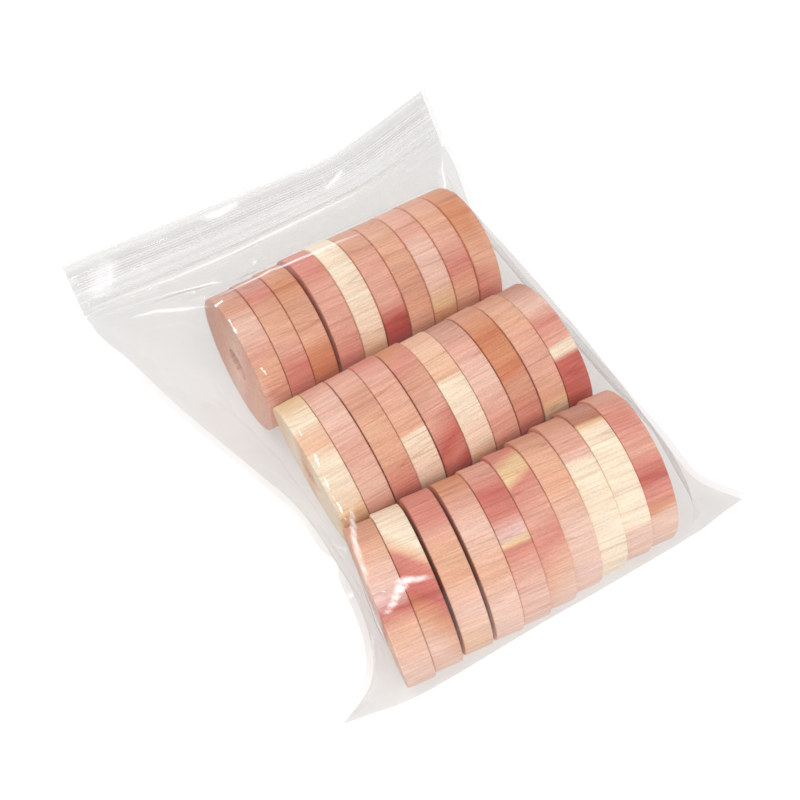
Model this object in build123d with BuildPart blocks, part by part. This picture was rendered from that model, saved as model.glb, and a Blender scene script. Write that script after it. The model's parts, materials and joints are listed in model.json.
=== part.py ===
from build123d import *
import os
from math import asin, atan, cos, hypot, radians, sin, sqrt, tan

# Thirty cedar hanger rings, on edge in three rows, in a clear film bag with a press-to-close mouth.
# Millimetres. +X runs along the rows, +Y towards the mouth, +Z up from the face the bag rests on.
# The origin is under the middle of the bag. All lengths are named here; angles are in degrees.

# Cedar rings
ring_diameter = 45.0
ring_thickness = 8.0
ring_bore = 11.0
rim_sides = 44
rings_per_row = 10
ring_gap = 0.15
back_row_gap = 3.1
front_row_gap = 1.1

# Film bag as it lies, from the bottom fold to the mouth edge
bag_width = 158.0
bag_length = 216.0
film_gauge = 0.2
film_gap = 0.3
side_reach = 17.0
fold_reach = 2.0
fold_height = 9.0
weld_width = 2.0
edge_run = 1.0
flap_clearance = 0.3

# Mouth: lips, press-to-close zip and grip ribs
lip_depth = 28.0
lip_opening = 1.2
zip_offset = 3.0
zip_rib_width = 0.8
zip_rib_height = 0.95
zip_wall_width = 0.7
zip_wall_height = 0.8
zip_play = 0.15
zip_swing_play = 0.6
zip_end = 3.0
grip_offset = 12.0
grip_count = 7
grip_pitch = 1.3
grip_width = 0.5
grip_height = 0.2

# Rows from the mouth to the bottom fold: how the discs of each row turn and lean, in degrees
row_names = ("back", "middle", "front")
row_yaw = (-2.3, -0.65, 6.96)
row_lean = (4.65, -1.9, -0.99)
facet_angle = 30.0

# Sideways place of each row, and each ring's shift along Y, as shares of ring_diameter
row_offset_shares = (-0.024, 0.014, -0.044)
ring_shift_shares = (
    (-0.016, -0.009, -0.002, 0.016, 0.018, 0.007, 0.002, 0.000, 0.002, -0.004),
    (-0.007, -0.004, -0.002, 0.009, 0.009, -0.002, -0.004, 0.007, 0.002, -0.004),
    (0.002, 0.002, 0.000, -0.016, -0.022, -0.018, -0.009, 0.000, 0.004, 0.002),
)
# Extra play after each ring, as shares of ring_thickness
ring_play_shares = (
    (0, 0, 0.14, 0, 0, 0, 0, 0, 0, 0),
    (0, 0.03, 0, 0.03, 0, 0, 0.03, 0.03, 0, 0),
    (0, 0.12, 0.12, 0, 0, 0, 0, 0, 0, 0),
)
# Side seams at the crease, shoulder, waist, three front facets and the fold: how far they stand
# out, as shares of side_reach
seam_left_shares = (1.06, 0.49, 0.04, 0.12, 0.55, 0.90, 1.03)
seam_right_shares = (0.74, 0.64, 0.63, 0.58, 0.95, 1.12, 1.20)
# How high the seams run on the way to the fold, as shares of half the bag's height, and how high
# the back film is under the three front facets, as shares of fold_height
seam_height_shares = (0.45, 0.58, 0.75, 0.77, 0.60, 0.45)
under_shares = (0, 0.45, 0.85)

os.makedirs("parts", exist_ok=True)

radius = ring_diameter / 2
half_thickness = ring_thickness / 2
overrun = ring_thickness


def disc_axis(row):
    """Unit axis of the discs of one row."""
    return Vector(1, -tan(radians(row_yaw[row])), -tan(radians(row_lean[row]))).normalized()


def half_extent(component):
    """Half of a disc's extent along a direction, from its axis's component in that direction."""
    return half_thickness * abs(component) + radius * sqrt(1 - component**2)


def shifts(row):
    """Shift of each ring of a row along Y."""
    return [share * ring_diameter for share in ring_shift_shares[row]]


# Heights: the rings stand just clear of the back film, the front film just clear of the rings
floor_z = film_gauge + film_gap
row_z = [floor_z + half_extent(disc_axis(row).Z) for row in range(len(row_names))]
bag_height = 2 * floor_z + 2 * max(half_extent(disc_axis(row).Z) for row in range(len(row_names)))
wrap_radius = bag_height / 2

# Places along Y, worked out from the bottom fold
mouth_y = bag_length / 2
foot_y = mouth_y - lip_depth
fold_y = -bag_length / 2
front_axis_y = fold_y + fold_reach + wrap_radius
front_y = front_axis_y - wrap_radius + floor_z + half_extent(disc_axis(2).Y) - min(shifts(2))
middle_y = front_y + ring_diameter + front_row_gap
back_y = middle_y + ring_diameter + back_row_gap
row_y = (back_y, middle_y, front_y)

# The mouth flap is tangent to the back row and comes down to the zip
back_axis_y = back_y + max(shifts(0)) + half_extent(disc_axis(0).Y) + floor_z - wrap_radius
lip_top = 2 * film_gauge + lip_opening
slope = asin(wrap_radius / hypot(foot_y - back_axis_y, wrap_radius - lip_top)) + atan(
    (wrap_radius - lip_top) / (foot_y - back_axis_y)
)
crease_y = back_axis_y + wrap_radius * tan(slope / 2)
zip_y = foot_y + zip_offset


def ring_centres(row):
    """Centres of a row's rings: their faces stay parallel, a named gap apart."""
    axis = disc_axis(row)
    steps = [0.0]
    shift = shifts(row)
    for k in range(1, rings_per_row):
        apart = ring_thickness * (1 + ring_play_shares[row][k - 1]) + ring_gap
        steps.append(steps[-1] + (apart - axis.Y * (shift[k] - shift[k - 1])) / axis.X)
    middle = row_offset_shares[row] * ring_diameter - steps[-1] / 2
    return [Vector(middle + s, row_y[row] + shift[k], row_z[row]) for k, s in enumerate(steps)]


# How far the rows reach along X, with the film's clearance
row_centres = [ring_centres(row) for row in range(len(row_names))]
content_left = min(row_centres[r][0].X - half_extent(disc_axis(r).X) for r in range(3)) - floor_z
content_right = max(row_centres[r][-1].X + half_extent(disc_axis(r).X) for r in range(3)) + floor_z


def front_vertex(turns, inset):
    """Corner of the facets that wrap the front row: its y, and its height above mid-height."""
    reach = (wrap_radius - inset) / cos(radians(facet_angle / 2))
    angle = radians(facet_angle * turns)
    return front_axis_y - reach * sin(angle), reach * cos(angle)


def stations(inset):
    """Cross-sections of the bag along Y: y, bottom, top, seam height, and left and right
    places of the seam and of the corner between the side and the flat faces."""
    edge = bag_width / 2 - weld_width
    lips = []
    for y in (mouth_y, foot_y):
        end = y + (overrun if inset and y == mouth_y else 0)
        lips.append((end, inset, lip_top - inset, lip_top / 2, -edge, edge, edge_run, -edge_run))
    shoulder_y = (back_y + middle_y) / 2
    waist_y = (middle_y + front_y) / 2
    body = [(y, inset, bag_height - inset) for y in (crease_y, shoulder_y, waist_y)]
    for turns, under in zip((0.5, 1.5, 2.5), under_shares):
        y, height = front_vertex(turns, inset)
        body.append((y, under * fold_height + inset, wrap_radius + height))
    half = film_gauge - inset / 4
    body.append((fold_y + inset, fold_height - half, fold_height + half))
    seams = [wrap_radius * share for share in seam_height_shares] + [fold_height]
    rows = []
    for k, (y, bottom, top) in enumerate(body):
        left = content_left - side_reach * seam_left_shares[k]
        right = content_right + side_reach * seam_right_shares[k]
        run = (content_left - left, content_right - right)
        rows.append((y, bottom, top, seams[k], left, right, *run))
    return lips + rows


def section(station, inset):
    """Closed outline of one cross-section, eight corners from the left seam round."""
    y, bottom, top, seam, left, right, left_run, right_run = station
    end = (film_gauge - inset / 2) / 2
    return [
        (left + 2 * inset, seam - end),
        (left + 2 * inset, seam + end),
        (left + left_run + inset / 2, top),
        (right + right_run - inset / 2, top),
        (right - 2 * inset, seam + end),
        (right - 2 * inset, seam - end),
        (right + right_run - inset / 2, bottom),
        (left + left_run + inset / 2, bottom),
    ]


def skin(inset):
    """Closed skin of flat facets through the sections, from the mouth to the bottom fold."""
    loops = []
    for station in stations(inset):
        loops.append([Vector(x, station[0], z) for x, z in section(station, inset)])
    faces = [Face(Wire.make_polygon(loop)) for loop in (loops[0], loops[-1])]
    for near, far in zip(loops, loops[1:]):
        for k in range(len(near)):
            after = (k + 1) % len(near)
            faces.append(Face(Wire.make_polygon([near[k], near[after], far[k]])))
            faces.append(Face(Wire.make_polygon([near[after], far[after], far[k]])))
    return Solid(Shell(faces))


# Cedar rings: one plain disc with a fine-sided rim and a round bore, for each place in each row
for row, name in enumerate(row_names):
    for k, centre in enumerate(row_centres[row]):
        face = Plane(centre - disc_axis(row) * half_thickness, z_dir=disc_axis(row))
        with BuildPart() as ring:
            with BuildSketch(face):
                RegularPolygon(radius, rim_sides)
                Circle(ring_bore / 2, mode=Mode.SUBTRACT)
            extrude(amount=ring_thickness)
        ring.part.label = f"{name}_row_ring_{k + 1:02d}"
        export_step(ring.part, f"parts/{ring.part.label}.step")

# Film bag: a thin shell, open at the mouth, that wraps the rows and flattens towards the lips
with BuildPart() as shell:
    add(skin(0))
    add(skin(film_gauge), mode=Mode.SUBTRACT)


def below_seam():
    """Outline in the YZ plane of all that lies under the side seams."""
    line = [(s[0], s[3]) for s in stations(0)]
    first = (line[0][0] + overrun, line[0][1])
    last = (line[-1][0] - overrun, line[-1][1])
    return [first] + line + [last, (last[0], -overrun), (first[0], -overrun)]


def flap_window(clearance):
    """Plan of the mouth flap: from the crease, between the corners of the film, to the mouth."""
    mouth, foot, crease = stations(0)[:3]
    left = [(s[4] + s[6] + clearance, s[0]) for s in (mouth, foot, crease)]
    right = [(s[5] + s[7] - clearance, s[0]) for s in (mouth, foot, crease)]
    left[0] = (left[0][0], mouth_y + overrun)
    right[0] = (right[0][0], mouth_y + overrun)
    left[2] = (left[2][0], crease_y + clearance)
    right[2] = (right[2][0], crease_y + clearance)
    return left + right[::-1]


# Back panel: the film under the rings, the back lip, and the sides up to the seams
with BuildPart() as back_panel:
    add(shell.part)
    with BuildSketch(Plane.YZ.offset(-bag_width)):
        Polygon(*below_seam(), align=None)
    extrude(amount=2 * bag_width, mode=Mode.INTERSECT)
back_panel.part.label = "back_panel"
export_step(back_panel.part, "parts/back_panel.step")

# Front panel: the film over the rings, and the gussets beside the mouth flap
with BuildPart() as front_panel:
    add(shell.part)
    with BuildSketch(Plane.YZ.offset(-bag_width)):
        Polygon(*below_seam(), align=None)
    extrude(amount=2 * bag_width, mode=Mode.SUBTRACT)
    with BuildSketch(Plane.XY):
        Polygon(*flap_window(0), align=None)
    extrude(amount=2 * bag_height, mode=Mode.SUBTRACT)
front_panel.part.label = "front_panel"
export_step(front_panel.part, "parts/front_panel.step")

# Mouth flap: the film from the crease down to the zip, with the front lip
with BuildPart() as mouth_flap:
    add(shell.part)
    with BuildSketch(Plane.YZ.offset(-bag_width)):
        Polygon(*below_seam(), align=None)
    extrude(amount=2 * bag_width, mode=Mode.SUBTRACT)
    with BuildSketch(Plane.XY):
        Polygon(*flap_window(flap_clearance), align=None)
    extrude(amount=2 * bag_height, mode=Mode.INTERSECT)
mouth_flap.part.label = "mouth_flap"
export_step(mouth_flap.part, "parts/mouth_flap.step")

# Side welds: the sealed edges, from the mouth to the ears at the bottom fold
for side, name in ((4, "left_side_weld"), (5, "right_side_weld")):
    with BuildPart() as weld:
        for station in stations(0):
            inner = station[side]
            outer = inner + (weld_width if side == 5 else -weld_width)
            with BuildSketch(Plane.XZ.offset(-station[0])):
                Polygon(
                    (inner, station[3] - film_gauge),
                    (outer, station[3] - film_gauge),
                    (outer, station[3] + film_gauge),
                    (inner, station[3] + film_gauge),
                    align=None,
                )
        loft(ruled=True)
    weld.part.label = name
    export_step(weld.part, f"parts/{name}.step")

# Zip: a rib under the front lip, in a channel of two walls on the back lip
zip_length = bag_width - 2 * (weld_width + edge_run + zip_end)
lip_under = film_gauge + lip_opening
with BuildPart() as zip_rib:
    with BuildSketch(Plane.XY.offset(lip_under - zip_rib_height)):
        with Locations((0, zip_y)):
            Rectangle(zip_length, zip_rib_width)
    extrude(amount=zip_rib_height)
zip_rib.part.label = "zip_rib"
export_step(zip_rib.part, "parts/zip_rib.step")

with BuildPart() as zip_channel:
    inner_y = zip_y - zip_rib_width / 2 - zip_play - zip_wall_width / 2
    outer_y = zip_y + zip_rib_width / 2 + zip_swing_play + zip_wall_width / 2
    with BuildSketch(Plane.XY.offset(film_gauge)):
        with Locations((0, inner_y), (0, outer_y)):
            Rectangle(zip_length, zip_wall_width)
    extrude(amount=zip_wall_height)
zip_channel.part.label = "zip_channel"
export_step(zip_channel.part, "parts/zip_channel.step")

# Grip ribs: fine parallel ribs on the outside of the front lip
with BuildPart() as grip_ribs:
    grip_y = foot_y + grip_offset + grip_pitch * (grip_count - 1) / 2
    with BuildSketch(Plane.XY.offset(lip_top)):
        with Locations((0, grip_y)):
            with GridLocations(0, grip_pitch, 1, grip_count):
                Rectangle(zip_length, grip_width)
    extrude(amount=grip_height)
grip_ribs.part.label = "grip_ribs"
export_step(grip_ribs.part, "parts/grip_ribs.step")
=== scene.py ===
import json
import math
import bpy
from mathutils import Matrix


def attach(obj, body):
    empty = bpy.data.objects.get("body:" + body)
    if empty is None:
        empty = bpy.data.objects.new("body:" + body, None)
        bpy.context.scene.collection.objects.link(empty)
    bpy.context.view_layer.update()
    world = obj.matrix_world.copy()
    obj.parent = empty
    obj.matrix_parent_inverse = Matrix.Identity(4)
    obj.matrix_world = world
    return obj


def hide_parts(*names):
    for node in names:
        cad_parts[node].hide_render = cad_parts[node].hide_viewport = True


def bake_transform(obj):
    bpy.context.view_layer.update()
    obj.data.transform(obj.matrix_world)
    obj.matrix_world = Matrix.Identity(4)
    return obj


bl_info = {
    "name": "Bag of Cedar Hanger Rings",
    "version": (1, 0, 0),
    "blender": (4, 5, 0),
    "location": "3D View > Sidebar > Cedar Rings",
    "description": "Turned cedar hanger rings, on edge in three rows, in a clear press-to-close film bag",
    "category": "Object",
}

import bpy
import numpy as np
from bpy.props import FloatProperty, FloatVectorProperty, IntProperty, PointerProperty
from mathutils import Matrix, Vector

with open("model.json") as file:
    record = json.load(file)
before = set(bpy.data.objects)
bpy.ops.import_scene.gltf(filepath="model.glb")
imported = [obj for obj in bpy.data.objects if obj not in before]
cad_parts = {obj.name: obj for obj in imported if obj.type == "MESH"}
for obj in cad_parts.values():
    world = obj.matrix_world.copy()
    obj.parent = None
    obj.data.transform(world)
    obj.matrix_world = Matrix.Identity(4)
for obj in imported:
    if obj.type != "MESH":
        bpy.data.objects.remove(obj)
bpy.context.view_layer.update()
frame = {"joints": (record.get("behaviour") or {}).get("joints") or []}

MM = 0.001
ROWS = ("back", "middle", "front")
RING_DIAMETER = 45.0
RING_THICKNESS = 8.0
RING_RADIUS = RING_DIAMETER / 2
RING_HALF = RING_THICKNESS / 2

# The wood's tones along each ring's visible rim: the angle in degrees from the top towards the
# bottom fold, and the tone there. Every ring is cut from its own piece of cedar.
RING_TONES = {
    "back": (
        {-40: "mauve", -10: "tan", 15: "shell", 35: "pink", 50: "peach", 75: "pink"},
        {-40: "mauve", -5: "rose", 5: "tan", 25: "peach", 50: "pink", 62: "rose", 90: "rose"},
        {-40: "tan", -5: "orange", 18: "tan", 45: "peach", 58: "orange", 85: "terracotta"},
        {-40: "rose", 0: "rose", 20: "pink", 55: "pink", 85: "rose"},
        {-40: "cream", 30: "cream", 60: "cream", 90: "straw"},
        {-40: "tan", -5: "tan", 12: "pink", 45: "pink", 62: "crimson", 74: "wine", 95: "wine"},
        {-40: "tan", 10: "peach", 45: "tan", 70: "peach", 95: "tan"},
        {-40: "pink", 5: "pink", 20: "shell", 50: "shell", 68: "straw", 90: "orange"},
        {-40: "tan", 0: "peach", 25: "pink", 48: "rose", 65: "peach", 90: "tan"},
        {-40: "orange", 0: "orange", 20: "orange", 48: "peach", 80: "rose"},
    ),
    "middle": (
        {-40: "straw", -8: "cream", 8: "sand", 16: "sand", 26: "cream", 60: "cream", 80: "straw"},
        {-40: "pink", 0: "shell", 30: "pink", 60: "shell", 85: "pink"},
        {-40: "pink", 8: "tan", 16: "peach", 45: "peach", 80: "rose"},
        {-40: "rose", -10: "pink", 36: "peach", 39: "cream", 70: "cream", 95: "cream"},
        {-40: "orange", -15: "rose", 5: "tan", 35: "pink", 56: "crimson", 75: "rose", 95: "crimson"},
        {-40: "sand", 14: "sand", 19: "cream", 70: "cream", 95: "straw"},
        {-40: "mauve", -5: "pink", 25: "shell", 60: "pink", 90: "pink"},
        {-40: "tan", -12: "orange", 0: "terracotta", 22: "orange", 32: "terracotta", 44: "tan", 85: "rose"},
        {-40: "tan", 0: "peach", 35: "pink", 62: "peach", 72: "straw", 95: "cream"},
        {
            -40: "mauve", -5: "shell", 8: "rose", 27: "pink", 31: "cream", 38: "cream",
            42: "crimson", 90: "crimson",
        },
    ),
    # In the front row the violet-pink tone, and the palest pink low on the rims and just past the top of the
    # first ring, are a painted veil: light the film reflects there, painted over the wood's tone
    "front": (
        {-40: "tan", -12: "peach", 5: "shell", 22: "lilac", 32: "crimson", 42: "peach", 75: "shell"},
        {-40: "cream", -10: "cream", 0: "sand", 6: "rose", 32: "crimson", 46: "orange", 80: "shell"},
        {-40: "rose", -14: "rose", 0: "pink", 12: "peach", 30: "peach", 55: "shell", 90: "sand"},
        {-40: "orange", -15: "pink", 10: "shell", 40: "peach", 60: "shell", 90: "shell"},
        {
            -40: "pink", -10: "crimson", 8: "rose", 20: "lilac", 27: "straw", 31: "rose",
            50: "pink", 80: "shell",
        },
        {
            -40: "rose", -24: "straw", -15: "straw", -8: "rose", 20: "pink", 40: "rose",
            60: "peach", 90: "shell",
        },
        {-40: "tan", -15: "peach", 10: "peach", 40: "shell", 66: "shell", 76: "lilac", 90: "shell"},
        {-40: "tan", -10: "pink", 1: "shell", 5: "cream", 60: "cream", 90: "cream"},
        {-40: "mauve", -24: "brown", -18: "straw", -8: "cream", 60: "cream", 67: "shell", 90: "shell"},
        {
            -40: "pink", -10: "rose", 20: "pink", 28: "rose", 36: "crimson", 50: "rose",
            62: "orange", 67: "shell",
        },
    ),
}
# Rings whose bands run aslant: how far along the rim a band moves, for each millimetre across it
SLANTS = {
    ("back", 10): -0.4,
    ("middle", 5): 0.6,
    ("middle", 8): 0.15,
    ("front", 2): -0.9,
    ("front", 6): 0.4,
}


def linear(code):
    """Linear colour of an sRGB hex value."""
    parts = [int(code[i : i + 2], 16) / 255 for i in (1, 3, 5)]
    return tuple(v / 12.92 if v <= 0.04045 else ((v + 0.055) / 1.055) ** 2.4 for v in parts)


def colour(name, description, code):
    """A colour property with its default."""
    return FloatVectorProperty(
        name=name, description=description, subtype="COLOR", size=3, min=0, max=1, default=linear(code)
    )


def length(name, description, default):
    """A length property in metres, from millimetres."""
    return FloatProperty(
        name=name, description=description, unit="LENGTH", default=default * MM, precision=5
    )


def amount(name, description, default, **options):
    """A property for a share, a strength or a power, never below zero."""
    return FloatProperty(name=name, description=description, default=default, min=0, **options)


class CedarSettings(bpy.types.PropertyGroup):
    """Sizes and tones of the turned cedar rings."""

    diameter: length("Diameter", "Outside diameter of a ring", RING_DIAMETER)
    thickness: length("Thickness", "Length of a ring along its bore", RING_THICKNESS)
    bore: length("Bore", "Diameter of the hole for a hanger's hook", 11.0)
    easing: length("Edge easing", "Radius left where the edges were tumbled", 0.35)
    cream: colour("Cream", "Pale sapwood", "#FBE8CF")
    straw: colour("Straw", "Yellower sapwood", "#F0CDA0")
    sand: colour("Sand", "Sapwood with a little pink", "#F0C4A6")
    # Palest pink heartwood; in the front row also a painted veil, light that the film reflects, painted over
    # the wood
    shell: colour("Shell", "Palest pink heartwood", "#EFC8B6")
    peach: colour("Peach", "Light heartwood", "#EAB598")
    pink: colour("Pink", "Rosy heartwood", "#E7AF9B")
    tan: colour("Tan", "Tan heartwood", "#DCA389")
    orange: colour("Orange", "Orange heartwood", "#DA9772")
    rose: colour("Rose", "Deep rose heartwood", "#DC9080")
    # Violet-pink: pink heartwood with a painted veil over it, the light the film reflects at a low angle
    lilac: colour("Lilac", "Violet-pink heartwood", "#ECC6BF")
    mauve: colour("Mauve", "Greyed heartwood", "#CE9A88")
    terracotta: colour("Terracotta", "Strong red-brown heartwood", "#D2845F")
    brown: colour("Brown", "Brown beside a knot", "#BF7C62")
    crimson: colour("Crimson", "Crimson streaks", "#CB6E63")
    wine: colour("Wine", "Deepest heartwood", "#B4504C")
    streak: colour("Streak", "What the redder streaks leave of the tone", "#E8B0A2")
    growth_line: colour("Growth line", "What a thin dark growth line leaves of the tone", "#B87464")


class FilmSettings(bpy.types.PropertyGroup):
    """Sizes and look of the bag's polyethylene film."""

    width: length("Flat width", "Width between the side welds, laid flat", 150.0)
    depth: length("Flat depth", "From the zip to the bottom fold, laid flat", 204.0)
    lip: length("Lip", "From the zip's foot to the mouth edge", 28.0)
    weld: length("Weld width", "Width of the sealed side edges", 2.0)
    slack: amount("Slack", "Share of film beyond a tight fit", 0.003, max=0.1)
    haze: amount("Haze", "Share of light the film scatters", 0.012, max=1)
    shine: amount("Shine", "Share of light reflected head on", 0.05, max=1)
    tint: colour("Tint", "Light left after one layer of film", "#ECEBEA")


class ZipSettings(bpy.types.PropertyGroup):
    """Sizes of the press-to-close zip and the grip ribs."""

    track: length("Track place", "From the zip's foot to the middle of the track", 4.0)
    bead: length("Bead width", "Width of the zip's rib and of each channel wall", 0.8)
    height: length("Bead height", "Height of the zip's rib", 0.9)
    grip_place: length("Grip ribs place", "From the zip's foot to the first grip rib", 12.0)
    grip_pitch: length("Grip rib pitch", "Distance between grip ribs", 1.3)
    grip_width: length("Grip rib width", "Width of a grip rib", 0.5)
    grip_height: length("Grip rib height", "Height of a grip rib", 0.15)
    grip_count: IntProperty(
        name="Grip ribs", description="How many grip ribs the front lip has", default=7, min=1
    )


class StageSettings(bpy.types.PropertyGroup):
    """Camera, lamps and floor."""

    lens: amount("Lens", "Focal length of the camera in millimetres", 47.37)
    key: amount("Key lamp", "Power of the softbox over the bag", 5.8, unit="POWER")
    fill: amount("Fill", "Strength of the world light", 0.62)
    glint: amount("Glint lamp", "Power of the small bare lamp that the film mirrors", 0.35, unit="POWER")
    mirror: amount("Reflected room", "Strength of the high room, mirrored", 0.12)
    sweep: amount("Reflected sweep", "Strength of the low sweep, mirrored", 1.05)
    glow: amount("Floor glow", "Share of the floor lit from below", 0.5, max=1)
    floor: colour("Floor", "Pale floor", "#FCFCFC")


# Film: a tube of film round the rings, relaxed from a straight first shape

# Side seams from the zip's foot to the ears: x, y, z in millimetres and how firmly the seam is held
LEFT_SEAM = (
    (-77.9, 79, 1.3, 1), (-76.4, 65.2, 3.7, 1), (-71.1, 47.7, 6.5, 1), (-65.3, 21.8, 10.4, 1),
    (-59.2, 0.9, 12.2, 1), (-53.1, -19.4, 14.1, 1), (-47.6, -37.4, 15.7, 1), (-46.2, -52.8, 17, 0.9),
    (-46, -63.9, 17.8, 0.8), (-46, -70.8, 18, 0.8), (-46.9, -79.1, 18, 0.8), (-49, -88.7, 17.6, 0.8),
    (-52.8, -96, 14, 0.8), (-65, -99.6, 9.4, 1),
)
RIGHT_SEAM = (
    (71, 83, 2.4, 1), (69.2, 72.4, 4, 1), (67.3, 64.7, 5, 1), (61.9, 48.5, 7, 1), (56.5, 31, 9, 1),
    (55.5, 14, 11, 1), (54.3, -7.2, 13, 1), (54.1, -24, 14.5, 1), (53.5, -38, 15.5, 1),
    (53.8, -58.3, 17, 1), (53.3, -71, 18, 0.9), (53.2, -81, 18, 0.8), (53.2, -91.4, 15, 0.8),
    (64, -101.8, 9.4, 1),
)
# Lines across the bag from left to right: shares of the width, and the places there in millimetres
FOOT_Y = ((0, 0.37, 0.8, 1), (79, 75.2, 75.6, 83))
FOOT_Z = ((0, 0.37, 0.8, 1), (1.3, 0.8, 1.0, 2.4))
MOUTH_X = ((0, 0.335, 0.43, 0.71, 1), (-77.1, -26.1, -10.8, 32.4, 77.4))
MOUTH_Y = ((0, 0.335, 0.71, 1), (107.6, 104.4, 100.2, 108.8))
MOUTH_Z = 0.8
# The mouth's right corner curls up, from this share of the width on
CURL_FROM = 0.66
CURL_RISE = 4.4
# How far each lip stands off the middle of the bag, at the zip's foot and at the mouth edge
FOOT_STAND = 0.6
EDGE_STAND = 0.7
# The straight first shape, over and under the rows: y and z in millimetres
OVER_ROWS = (
    (78, 1.4), (20.5, 46.6), (-84, 46.6), (-93, 45), (-100, 39), (-104.6, 31), (-106, 23),
    (-105.4, 16), (-102.8, 8.6),
)
UNDER_ROWS = ((78, 0.2), (-88, 0.2), (-93, 1.2), (-98, 4), (-102.8, 8.6))
# How far from the zip the first shape is as wide as the rows, and its room at seams and rows' ends
SPREAD = 57
SEAM_INSET = 1
LEAST_INSET = 0.5
END_ROOM = 1.5
# Links between film points: steps down and across, stiffness, whether it only pushes apart, and
# the strides down and across that keep the links moved together off each other's points. Short
# links keep the film's lengths, and the four that push resist bending.
LINKS = (
    (0, 1, 1.0, False, 1, 2),
    (1, 0, 1.0, False, 2, 1),
    (1, 1, 0.6, False, 2, 1),
    (1, -1, 0.6, False, 2, 1),
    (0, 2, 0.5, True, 1, 4),
    (2, 0, 0.5, True, 4, 1),
    (0, 4, 0.25, True, 1, 8),
    (4, 0, 0.25, True, 8, 1),
)
# Slack lies in the body of the bag and beside the seams, most at the ears: where each begins and
# eases in, as shares of the width or the depth, and how much of the slack it has
SIDE_EASE = 0.22
EAR_FROM = 0.82
EAR_EASE = 0.18
BODY_FROM = 0.22
BODY_EASE = 0.1
BODY_SLACK = 0.3
SIDE_SLACK = 1.2
SEAM_SLACK = 0.6
EAR_SLACK = 2
# The film's relaxation: share of the way to the seam and of the last move in a round, and least
# gaps in millimetres
SEAM_PULL = 0.3
CARRY = 0.9
FILM_GAP = 0.3
FLOOR_GAP = 0.12
# The coarsest grid of film points, across one side and down the bag, and the rounds it relaxes for
ACROSS = 38
DOWN = 52
ROUNDS = 200
TINY = 1e-9


def ring_rows():
    """Centres of each row's rings and the row's axis, in millimetres."""
    found = []
    for row in ROWS:
        joints = [j for j in frame["joints"] if j["name"].startswith(row + "_row_ring")]
        centres = np.array([j["pos_m"] for j in joints]) / MM
        axis = np.array(joints[0]["axis"], float)
        found.append((centres, axis / np.linalg.norm(axis)))
    return found


def runs_along(points):
    """How far along the line through some points each of them is."""
    return np.concatenate([[0], np.cumsum(np.linalg.norm(np.diff(points, axis=0), axis=1))])


def eased(u, line):
    """Places on a line across the bag, with its corners rounded and both its ends kept."""
    values = np.interp(u, *line)
    reach = max(1, len(u) // 12)
    kernel = np.ones(2 * reach + 1) / (2 * reach + 1)
    out = np.convolve(np.pad(values, reach, "edge"), kernel, "valid")
    out[0], out[-1] = values[0], values[-1]
    return out


def zip_foot(u, side):
    """Foot of the zip across the bag: side is 1 for the front film and -1 for the back film."""
    x = np.interp(u, (0, 1), (LEFT_SEAM[0][0], RIGHT_SEAM[0][0]))
    stand = side * FOOT_STAND * np.sin(np.pi * u) ** 0.4
    return np.stack([x, eased(u, FOOT_Y), eased(u, FOOT_Z) + stand], 1)


def mouth_edge(u, side):
    """Mouth edge across the bag: the contents pull its middle in, and its right corner is up."""
    z = MOUTH_Z + CURL_RISE * np.clip((u - CURL_FROM) / (1 - CURL_FROM), 0, 1) ** 1.5
    stand = side * EDGE_STAND * np.sin(np.pi * u) ** 0.4
    return np.stack([np.interp(u, *MOUTH_X), eased(u, MOUTH_Y), z + stand], 1)


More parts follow.
